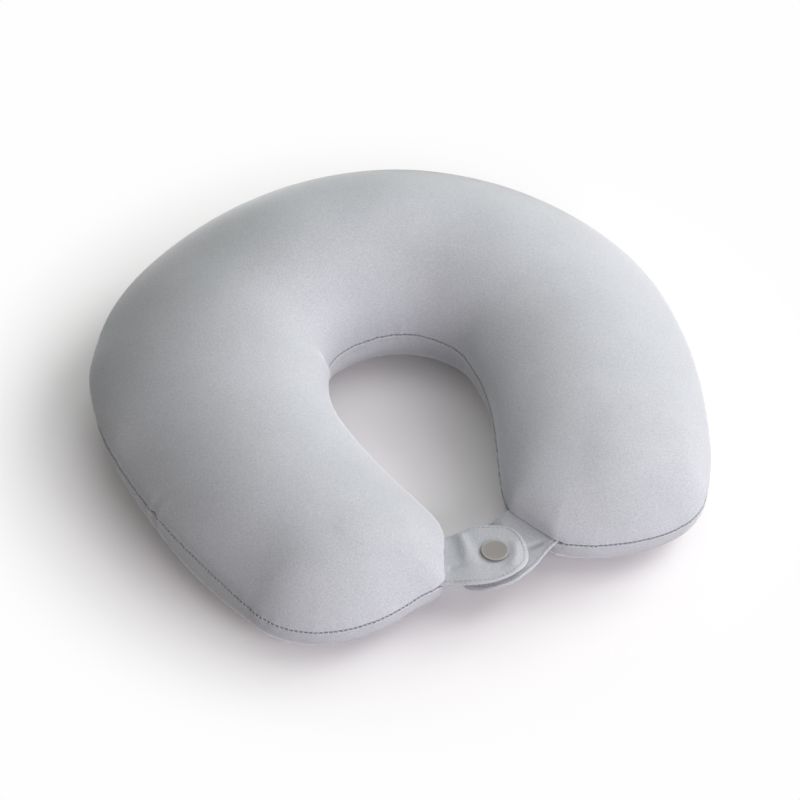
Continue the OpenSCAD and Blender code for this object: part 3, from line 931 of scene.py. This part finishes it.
class PILLOW_OT_top_panel(bpy.types.Operator):
    """Sews the domed top panel"""

    bl_idname = "pillow.top_panel"
    bl_label = "Top panel"

    def execute(self, context):
        pillow, seam, tabs, look, _ = sizes_of(context)
        loop = SeamLoop(pillow, tabs, SIDE_N, TIP_N)
        turns = math.pi / 2 * (np.arange(1, ROWS) / ROWS) ** CROWDED
        dome = top_rows(loop, pillow, seam, tabs, turns)
        line = crown_points(loop, seam)
        dome_shift, line_shift = settled_shift(context, turns)
        dome = dome + dome_shift
        line = line + line_shift
        rows = np.concatenate([edge_points(loop, seam, tabs, 1), dome])
        sew_panel("top_panel", loop, rows, line, seam, look, flip=True)
        return {"FINISHED"}


class PILLOW_OT_bottom_panel(bpy.types.Operator):
    """Sews the shallow bottom panel, flat where it stands"""

    bl_idname = "pillow.bottom_panel"
    bl_label = "Bottom panel"

    def execute(self, context):
        pillow, seam, tabs, look, _ = sizes_of(context)
        loop = SeamLoop(pillow, tabs, SIDE_N, TIP_N)
        shares = (np.arange(1, ROWS) / (ROWS - 1)) ** CROWDED
        base = base_rows(loop, pillow, seam, tabs, shares)
        rows = np.concatenate([edge_points(loop, seam, tabs, -1), base])
        sew_panel("bottom_panel", loop, rows, foot_points(loop, 0.0), seam, look, flip=False)
        return {"FINISHED"}


class PILLOW_OT_bead_fill(bpy.types.Operator):
    """Fills the cover with beads, as one closed body inside the panels"""

    bl_idname = "pillow.bead_fill"
    bl_label = "Bead filling"

    def execute(self, context):
        pillow, seam, tabs, look, _ = sizes_of(context)
        loop = SeamLoop(pillow, tabs, FILL_SIDE, FILL_TIP)
        turns = math.pi / 2 * np.arange(FILL_ROWS - 1, -1, -1) / FILL_ROWS
        shares = np.arange(0, FILL_BASE_ROWS + 1) / FILL_BASE_ROWS
        top = top_rows(loop, pillow, seam, tabs, turns, FILL_INSET)
        base = base_rows(loop, pillow, seam, tabs, shares, FILL_INSET)
        rows = np.concatenate([top, base])
        lines = [crown_points(loop, seam, FILL_INSET), foot_points(loop, FILL_INSET)]
        points = np.concatenate([rows.reshape(-1, 3), *lines])
        crown = len(rows) * loop.n
        faces = [ring_faces(len(rows), loop.n)]
        faces += closing_faces(loop, 0, crown, flip=True)
        faces += closing_faces(loop, crown - loop.n, crown + loop.line_n)
        piece = new_piece("Bead_fill", points, faces, material_of(look, "beads"))
        place_piece(piece, "pillow", "bead_fill")
        return {"FINISHED"}


def capsules(middle, run, out, half, radius):
    """Small rounded bars as one mesh: points and faces of a six-sided bar with tapered ends at each middle.

    run is each bar's direction and out its outward direction; the bar bows outwards by its own radius.
    """
    side = np.cross(run, out)
    places = np.array([-1.0, -0.8, -0.3, 0.3, 0.8, 1.0])
    girth = np.array([0.25, 0.8, 1.0, 1.0, 0.8, 0.25])
    sides = np.arange(6)
    turn = sides * math.pi / 3
    centre = middle[:, None] + run[:, None] * (places * half)[None, :, None]
    centre = centre + out[:, None] * ((1 - places**2) * radius * 0.6)[None, :, None]
    round_it = np.cos(turn)[None, :, None] * side[:, None] + np.sin(turn)[None, :, None] * out[:, None]
    points = centre[:, :, None] + round_it[:, None] * (girth * radius)[None, :, None, None]
    rings, n = len(places), len(sides)
    starts = np.arange(len(middle))[:, None, None] * rings * n
    quads = (ring_faces(rings, n)[None] + starts).reshape(-1, 4)
    ends = np.stack([sides[::-1], sides + (rings - 1) * n])
    ends = (ends[None] + starts).reshape(-1, n)
    return points.reshape(-1, 3), [quads, ends]


class PILLOW_OT_seam_thread(bpy.types.Operator):
    """Stitches the panels together: thread bars across the seam's gap"""

    bl_idname = "pillow.seam_thread"
    bl_label = "Seam thread"

    def execute(self, context):
        pillow, seam, tabs, look, _ = sizes_of(context)
        loop = SeamLoop(pillow, tabs, THREAD_SIDE, THREAD_TIP)
        count = int(loop.length / seam.pitch)
        want = (np.arange(count) + 0.5) * loop.length / count
        at_tab = np.interp(want, loop.run, loop.tab_window(tabs))
        beside_tab, sunk = 0.02, 0.15
        want = want[at_tab < beside_tab]
        shift = gathers(loop, seam) - seam.draw_in - seam.lip * sunk
        xy = loop.outline() + loop.away * shift[:, None]
        middle = points_at(want, loop.run, np.column_stack([xy, sewn_height(loop, seam)]))
        away = unit(np.column_stack([points_at(want, loop.run, loop.away), 0 * want]))
        tangent = np.cross(away, [0, 0, 1])
        upright = unit(np.array([0, 0, 1]) + seam.slant * tangent)
        points, faces = capsules(middle, upright, away, seam.bar, seam.thread)
        piece = new_piece("Seam_thread", points, faces, material_of(look, "thread"))
        place_piece(piece, "pillow", "panel_seam_thread")
        return {"FINISHED"}


def fold(uv, first, last, height, spread):
    """A soft fold of the given height: a bell of the distance from the line between first and last."""
    first = np.array(first)
    way = np.array(last) - first
    share = np.clip((uv - first) @ way / (way @ way), 0, 1)
    off = np.linalg.norm(uv - first - share[..., None] * way, axis=-1)
    return height * hump(off, spread)


class TabShape:
    """One tab's outline and surfaces in its own frame: u runs out from the root, v to the back, w up.

    The outline's two sides run from the caught tail to the rounded end, which is half of a superellipse.
    Spokes join the edge to the middle line, and a row lies at one distance from the edge on all spokes.
    """

    def __init__(self, loop, pillow, tabs, side):
        self.side = side
        self.tabs = tabs
        self.root = loop.root
        self.turn = tabs.angle
        self.level = pillow.seam_heights[3]
        place = 0 if side < 0 else 1
        self.width = tabs.widths[place]
        self.forward = tabs.forward[place]
        self.skew = tabs.skew[place]
        self.snap = loop.root[0] / math.cos(tabs.angle)
        self.far = self.snap + tabs.ends[place]
        self.fall = self.snap - tabs.cap_radius
        self.rise = -side * tabs.pitch / 2
        corners = tabs.front_corner[place], tabs.back_corner[place]
        start = self.far - min(corners)
        along_n, end_n = 70, 91
        along = np.linspace(-tabs.tail, start, along_n)
        theta = np.linspace(-math.pi / 2, math.pi / 2, end_n)[1:-1]
        end = start + min(corners) * np.cos(theta) ** (2 / tabs.corner_round)
        u = np.concatenate([along, end, along[::-1]])
        back = np.concatenate([0 * along, theta, 0 * along + 1]) > 0
        corner = self.corner(u, np.where(back, corners[1], corners[0]))
        v = np.where(back, 1, -1) * self.half_width(u) * corner
        self.edge = np.stack([u, v + self.middle_line(u)], 1)
        line = np.minimum(u, start)
        self.middle = np.stack([line, self.middle_line(line)], 1)
        self.line_n = len(along)
        first = np.arange(self.line_n)
        self.line = np.concatenate([first, np.full(len(theta), self.line_n - 1), first[::-1]])
        self.n = len(u)

    def half_width(self, u):
        """Half of the width: widens softly from the root to the snap."""
        return self.tabs.root_width / 2 + (self.width - self.tabs.root_width) / 2 * smooth(u / self.fall)

    def corner(self, u, reach):
        """Share of the width that a corner of the given length leaves: a superellipse ending at the tip."""
        power = self.tabs.corner_round
        return (1 - np.clip((u - self.far + reach) / reach, 0, 1) ** power) ** (1 / power)

    def middle_line(self, u):
        """Place of the middle line across the tab, in front of the snap."""
        return -self.forward + (self.forward - self.skew) * smooth(u / self.fall)

    def mid_height(self, uv):
        """Height of the middle surface: half a cosine wave from the seam to the snap's level, with folds.

        A ridge and a crease run between the root and the snap, and the end is arched and bends down as a
        parabola does.
        """
        u = uv[..., 0]
        t = np.clip(u / self.fall, 0, 1)
        height = self.rise * (1 - np.cos(math.pi * t)) / 2
        arch_u = self.snap + 0.0090
        ridge = fold(uv, (0.0090, 0.0100), (0.0130, -0.0045), height=0.00165, spread=0.0030)
        crease = fold(uv, (0.0045, -0.0106), (0.0140, -0.0060), height=-0.00110, spread=0.0012)
        arch = fold(uv, (arch_u, 0.004), (arch_u, -0.008), height=0.00100, spread=0.0036)
        bend_from, bend_reach, bend_depth = self.snap + 0.0095, 0.007, 0.0015
        bend = -bend_depth * np.maximum((u - bend_from) / bend_reach, 0) ** 2
        from_snap = np.hypot(u - self.snap, uv[..., 1])
        free = step(u, 0, 0.003) * step(from_snap, self.tabs.cap_radius, 0.004)
        return height + (ridge + crease + arch) * free + bend

    def world(self, uv, w):
        """Places in the pillow's frame of points of the tab's."""
        u, v = uv[..., 0], uv[..., 1]
        x = -self.root[0] + u * math.cos(self.turn) + v * math.sin(self.turn)
        y = self.root[1] - u * math.sin(self.turn) + v * math.cos(self.turn)
        return np.stack([-self.side * x, y, self.level + w], -1)

    def puff(self, distance, uv):
        """Height of a face over the middle surface: rolled edge, full rim, stitched groove, then nearly flat.

        The roll is a quarter of an ellipse, the rim half a sine wave and the groove a bell, deeper at the
        front edge. Round the snap the cloth is pressed down a little.
        """
        inset = self.tabs.stitch_in
        roll_reach, rim_from, groove_reach, inner_reach = 0.0008, 0.0005, 0.00035, 0.003
        rim_h, groove_depth, inner_h = 0.00006, 0.00018, 0.00010
        press_depth, press_reach, front_reach = 0.00030, 0.0022, 0.012
        roll = self.tabs.thickness / 2 * np.sqrt(1 - (1 - np.clip(distance / roll_reach, 0, 1)) ** 2)
        rim = rim_h * np.sin(math.pi * np.clip((distance - rim_from) / (inset - rim_from), 0, 1))
        front = 0.25 + 0.75 * smooth(-uv[..., 1] / front_reach)
        groove = -groove_depth * front * hump(distance - inset, groove_reach)
        inner = inner_h * (1 - np.exp(-np.maximum(distance - inset, 0) / inner_reach))
        from_cap = np.maximum(np.hypot(uv[..., 0] - self.snap, uv[..., 1]) - self.tabs.cap_radius, 0)
        pressed = -press_depth * hump(from_cap, press_reach)
        return roll + rim + groove + inner + pressed

    def rows(self, distances):
        """Plan places of the rows at the given distances from the edge."""
        spoke = self.middle - self.edge
        reach = np.linalg.norm(spoke, axis=1)
        share = distances[:, None] / reach
        return self.edge + spoke * share[..., None]

    def sheet(self, distances, up):
        """Points, faces and flat places of the upper face for up 1, the lower for -1 or the middle for 0."""
        uv = self.rows(distances)
        line = self.middle[: self.line_n]
        depth = np.broadcast_to(distances[:, None], uv.shape[:2])
        w = self.mid_height(uv) + up * self.puff(depth, uv)
        line_w = self.mid_height(line) + up * self.puff(self.half_width(line[:, 0]), line)
        points = np.concatenate([self.world(uv, w).reshape(-1, 3), self.world(line, line_w)])
        grid = np.arange(len(distances) * self.n).reshape(len(distances), self.n)
        a, b, c, d = grid[:-1, :-1], grid[:-1, 1:], grid[1:, 1:], grid[1:, :-1]
        quads = np.stack([a, b, c, d], -1).reshape(-1, 4)
        crown = grid.size + self.line
        close = np.stack([grid[-1, :-1], grid[-1, 1:], crown[1:], crown[:-1]], -1)
        folded = close[:, 2] == close[:, 3]
        parts = [quads, close[~folded], close[folded][:, :3]]
        if up * self.side > 0:
            parts = [part[:, ::-1] for part in parts]
        return points, parts, np.concatenate([uv.reshape(-1, 2), line])

    def stitches(self):
        """Middles, directions and outward sides of the topstitching on both faces."""
        inset = self.tabs.stitch_in
        row = self.rows(np.array([inset]))[0]
        run = arc_length(row)
        begin = np.interp(STITCH_FROM, row[: self.line_n, 0], run[: self.line_n])
        count = int((run[-1] - 2 * begin) / self.tabs.stitch_pitch)
        want = begin + (np.arange(count) + 0.5) * (run[-1] - 2 * begin) / count
        parts = []
        for up in (1, -1):
            ends = []
            for shift in (-0.5, 0.0, 0.5):
                at = want + shift * self.tabs.stitch_pitch * STITCH_SHARE
                uv = points_at(at, run, row)
                lift = self.puff(np.full(count, inset), uv) + self.tabs.thread * 0.5
                ends.append(self.world(uv, self.mid_height(uv) + up * lift))
            parts.append((ends[1], unit(ends[2] - ends[0]), np.tile([0, 0, float(up)], (count, 1))))
        return [np.concatenate(p) for p in zip(*parts)]


# Distances of the tabs' rows from the edge in millimetres, close at the roll and at the stitched groove
EDGE_ROWS = np.array([0, 0.06, 0.16, 0.3, 0.45, 0.62, 0.8, 1.1, 1.4, 1.6, 1.75, 1.88, 2.0, 2.12, 2.25,
                      2.4, 2.7])
INNER_ROWS = np.array([3.2, 4.0, 5.0, 6.2, 7.6, 9.2, 11.0, 13.0, 15.0])
FELT_ROWS = np.concatenate([[0.9, 2.0, 4.0], INNER_ROWS[2:]])
# Way from a tab's root at which its topstitching starts, and share of the pitch that a stitch takes
STITCH_FROM = 0.0015
STITCH_SHARE = 0.78
# Way from a tab's root to a second point on its middle line, which is worked out but not used
FOLD_REACH = 0.009


class PILLOW_OT_tabs(bpy.types.Operator):
    """Sews both tabs: two plies with turned-in edges, an interlining and topstitching"""

    bl_idname = "pillow.tabs"
    bl_label = "Tabs"

    def execute(self, context):
        pillow, _, tabs, look, _ = sizes_of(context)
        loop = SeamLoop(pillow, tabs, SIDE_N, TIP_N)
        distances = np.concatenate([EDGE_ROWS, INNER_ROWS]) / 1000
        for side, word in ((-1, "left"), (1, "right")):
            shape = TabShape(loop, pillow, tabs, side)
            made = []
            for up, ply in ((1, "upper"), (-1, "lower")):
                node = f"{word}_tab_{ply}_ply"
                points, faces, flat = shape.sheet(distances, up)
                piece = new_piece(node.capitalize(), points, faces, material_of(look, "knit"), flat)
                thicken(piece, tabs.ply)
                made.append((piece, node, "knit"))
            node = f"{word}_tab_interlining"
            points, faces, _ = shape.sheet(FELT_ROWS / 1000, 0)
            piece = new_piece(node.capitalize(), points, faces, material_of(look, "felt"))
            thicken(piece, tabs.felt, offset=0)
            made.append((piece, node, "interlining"))
            node = f"{word}_tab_stitching"
            half = tabs.stitch_pitch * STITCH_SHARE / 2
            points, faces = capsules(*shape.stitches(), half, tabs.thread)
            piece = new_piece(node.capitalize(), points, faces, material_of(look, "thread"))
            made.append((piece, node, "thread"))
            start = shape.world(np.array([0.0, 0.0]), 0.0)
            end = shape.world(np.array([FOLD_REACH, 0.0]), 0.0)
            for piece, node, slot in made:
                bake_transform(piece)
                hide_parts(node)
        return {"FINISHED"}


def turned(profile, middle):
    """Points, faces and flat places of a profile of (radius, height) rows turned about an upright line.

    The line goes through middle. The profile starts and ends beside it and is closed there by a point on it.
    The flat place of a point is its turn and its way along the profile in millimetres.
    """
    spokes = 72
    turn = np.arange(spokes) * 2 * math.pi / spokes
    x = profile[:, :1] * np.cos(turn)
    y = profile[:, :1] * np.sin(turn)
    z = np.broadcast_to(profile[:, 1:], x.shape)
    rings = np.stack([x, y, z], -1).reshape(-1, 3)
    poles = np.array([[0, 0, profile[0, 1]], [0, 0, profile[-1, 1]]])
    first = np.arange(spokes)
    after = (first + 1) % spokes
    last = len(rings) - spokes
    top = np.stack([first, after, np.full(spokes, len(rings))], 1)
    bottom = np.stack([last + first, np.full(spokes, len(rings) + 1), last + after], 1)
    points = np.concatenate([rings, poles]) + [middle[0], middle[1], 0]
    way = arc_length(profile) * 1000
    flat = np.stack([np.tile(turn, len(profile)), np.repeat(way, spokes)], 1)
    flat = np.concatenate([flat, [[0, 0], [0, way[-1]]]])
    return points, [ring_faces(len(profile), spokes, flip=True), top, bottom], flat


def cap_profile(radius, top, foot, up):
    """Profile of a cap: a shallow dish, a rounded rim undercut above the cloth, and the post through it.

    The rim is part of a circle. Rows are radius and height; up is 1 for a cap that faces up and -1 for down.
    """
    dish = np.array([[0.1, -0.12], [2.0, -0.12], [4.0, -0.11], [5.0, -0.09], [5.5, -0.05]]) / 1000
    bead = 0.00042
    turn = np.radians(np.linspace(100, -85, 14))
    rim = np.stack([radius - bead + bead * np.cos(turn), bead * np.sin(turn) - bead], 1)
    under = np.array([[5.9, -0.86], [5.6, -1.00], [5.6, -1.35], [1.1, -1.35]]) / 1000
    post = np.array([[1.1, 0.0], [0.1, 0.0]]) / 1000 + [0, (foot - top) * up]
    rows = np.concatenate([dish, rim, under, post])
    return np.stack([rows[:, 0], top + up * rows[:, 1]], 1)


class PILLOW_OT_snap(bpy.types.Operator):
    """Turns the snap's two caps and gives its moulded pieces their finish"""

    bl_idname = "pillow.snap"
    bl_label = "Snap"

    def execute(self, context):
        look = context.scene.pillow_look
        for node, body, up in (("snap_cap", "left_tab", 1), ("snap_back_cap", "right_tab", -1)):
            low, high = np.array(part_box(node))
            top, foot = (high[2], low[2]) if up > 0 else (low[2], high[2])
            profile = cap_profile((high[0] - low[0]) / 2, top, foot, up)
            points, faces, flat = turned(profile, (low + high) / 2)
            if up < 0:
                faces = [part[:, ::-1] for part in faces]
            piece = new_piece(node.capitalize(), points, faces, material_of(look, "cap"), flat)
            place_piece(piece, body, node)
        for node in ("snap_socket", "snap_stud"):
            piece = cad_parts[node]
            piece.data.materials.clear()
            piece.data.materials.append(material_of(look, "snap"))
        return {"FINISHED"}


# White that the floor and the backdrop show far from the pillow
PLAIN_WHITE = (0.99, 0.99, 0.99, 1)


def seen_plainly(tree):
    """1 for rays that show a surface, straight, mirrored or through glass, and 0 for those that light."""
    path = add_node(tree, "ShaderNodeLightPath")
    mirrored = calc(tree, "MAXIMUM", path.outputs["Is Glossy Ray"], path.outputs["Is Transmission Ray"])
    return calc(tree, "MAXIMUM", path.outputs["Is Camera Ray"], mirrored)


def mixed(tree, share, first, second):
    """A shader that goes over from the first to the second by the given share."""
    mix = add_node(tree, "ShaderNodeMixShader")
    join(tree, share, mix.inputs[0])
    join(tree, first.outputs[0], mix.inputs[1])
    join(tree, second.outputs[0], mix.inputs[2])
    return mix


def floor_material(tint, stage):
    """Pale floor that takes the shadow, turns plain white away from the pillow and throws back little."""
    material, tree, shader = new_material("Floor")
    noise = textured(tree, "ShaderNodeTexNoise", Scale=3.0, Detail=2.0)
    tinted(tree, shader, noise.outputs["Fac"], tint, low=0.995, high=1.0)
    set_values(shader, {"Roughness": 0.9, "Specular IOR Level": 0.1})
    away = add_node(tree, "ShaderNodeVectorMath", operation="LENGTH")
    join(tree, coordinates(tree).outputs["Object"], away.inputs[0])
    fade = add_node(tree, "ShaderNodeMapRange", interpolation_type="SMOOTHSTEP",
                    From_Min=stage.clear, From_Max=stage.white, To_Min=0.04)
    join(tree, away.outputs["Value"], fade.inputs["Value"])
    plain = add_node(tree, "ShaderNodeEmission", Color=PLAIN_WHITE)
    shown = mixed(tree, fade.outputs["Result"], shader, plain)
    dim = add_node(tree, "ShaderNodeBsdfDiffuse", Color=(*[c * stage.bounce for c in tint], 1))
    surface = mixed(tree, seen_plainly(tree), dim, shown)
    join(tree, surface.outputs[0], tree.nodes["Material Output"].inputs["Surface"])
    return material


def studio_world(tint, strength):
    """Even light from all round that shows as plain white."""
    world = bpy.data.worlds.new("Studio")
    world.use_nodes = True
    tree = world.node_tree
    light = tree.nodes["Background"]
    set_values(light, {"Color": (*tint, 1), "Strength": strength})
    plain = add_node(tree, "ShaderNodeBackground", Color=PLAIN_WHITE)
    surface = mixed(tree, seen_plainly(tree), light, plain)
    join(tree, surface.outputs[0], tree.nodes["World Output"].inputs["Surface"])
    return world


def add_lamp(name, stage, direction, power, tint):
    """A square lamp that faces the pillow; direction is to the right, back and up as the camera sees it."""
    aim = Vector(direction).normalized() * stage.lamp_distance
    aim.rotate(Matrix.Rotation(stage.azimuth, 3, "Z"))
    target = Vector((0, 0, 0.03))
    place = target + aim
    data = bpy.data.lights.new(name, "AREA")
    data.shape = "SQUARE"
    data.size = stage.lamp_size
    data.energy = power
    data.color = tint
    lamp = bpy.data.objects.new(name, data)
    lamp.location = place
    lamp.rotation_euler = (target - place).to_track_quat("-Z", "Y").to_euler()
    bpy.context.scene.collection.objects.link(lamp)


class PILLOW_OT_stage(bpy.types.Operator):
    """Sets the floor, the lamps and the camera"""

    bl_idname = "pillow.stage"
    bl_label = "Stage"

    def execute(self, context):
        scene = context.scene
        look, stage = scene.pillow_look, scene.pillow_stage
        floor_half = 4.0
        corners = floor_half * np.array([[-1, -1, 0], [1, -1, 0], [1, 1, 0], [-1, 1, 0]])
        floor = new_piece("Floor", corners, [np.array([[0, 1, 2, 3]])], floor_material(look.floor, stage))
        add_lamp("Key lamp", stage, (0.75, 0.50, 0.45), stage.key, (0.985, 1.0, 1.0))
        add_lamp("High lamp", stage, (0.70, 0.0, 0.75), stage.high, (0.96, 1.0, 1.0))
        add_lamp("Front lamp", stage, (0.54, -0.80, 0.25), stage.front, (1.03, 0.975, 1.06))
        add_lamp("Rear lamp", stage, (0.0, 0.80, 0.60), stage.rear, (0.90, 1.0, 1.0))
        add_lamp("Top lamp", stage, (0.0, 0.0, 1.0), stage.top, (0.90, 1.0, 1.0))
        scene.world = studio_world(look.sky, stage.sky)
        turn, rise = stage.azimuth, stage.elevation
        back = Vector((math.sin(turn) * math.cos(rise), -math.cos(turn) * math.cos(rise), math.sin(rise)))
        right = Vector((math.cos(turn), math.sin(turn), 0))
        up = back.cross(right)
        camera = bpy.data.objects.new("Camera", bpy.data.cameras.new("Camera"))
        camera.data.sensor_width = 36
        camera.data.lens = stage.focal
        camera.data.clip_start = 0.1
        camera.data.clip_end = 50
        middle = Vector((0, 0.00024, 0.04))
        camera.location = middle + back * stage.distance + right * stage.shift_right + up * stage.shift_up
        camera.rotation_euler = Matrix((right, up, back)).transposed().to_euler()
        scene.collection.objects.link(camera)
        scene.camera = camera
        scene.view_settings.view_transform = "Standard"
        return {"FINISHED"}


PIECES = (PILLOW_OT_top_panel, PILLOW_OT_bottom_panel, PILLOW_OT_bead_fill, PILLOW_OT_seam_thread,
          PILLOW_OT_tabs, PILLOW_OT_snap, PILLOW_OT_stage)
GROUPS = {"pillow_sizes": PillowSizes, "seam_sizes": SeamSizes, "cloth_settings": ClothSettings,
          "tab_sizes": TabSizes, "pillow_look": PillowLook, "pillow_stage": StageSettings}


class PILLOW_PT_panel(bpy.types.Panel):
    """Lists the pieces of the pillow"""

    bl_idname = "PILLOW_PT_panel"
    bl_label = "Neck pillow"
    bl_space_type = "VIEW_3D"
    bl_region_type = "UI"
    bl_category = "Pillow"

    def draw(self, context):
        for piece in PIECES:
            self.layout.operator(piece.bl_idname)


def register():
    """Registers the classes and hangs the groups of sizes on the scene."""
    for kind in (*GROUPS.values(), *PIECES, PILLOW_PT_panel):
        bpy.utils.register_class(kind)
    for name, group in GROUPS.items():
        setattr(bpy.types.Scene, name, PointerProperty(type=group))


def unregister():
    """Takes the groups off the scene and the classes out again."""
    for name in GROUPS:
        delattr(bpy.types.Scene, name)
    for kind in (PILLOW_PT_panel, *reversed(PIECES), *GROUPS.values()):
        bpy.utils.unregister_class(kind)


def main():
    """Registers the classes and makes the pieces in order."""
    register()
    for piece in PIECES:
        group, name = piece.bl_idname.split(".")
        getattr(getattr(bpy.ops, group), name)()


if __name__ == "__main__":
    main()
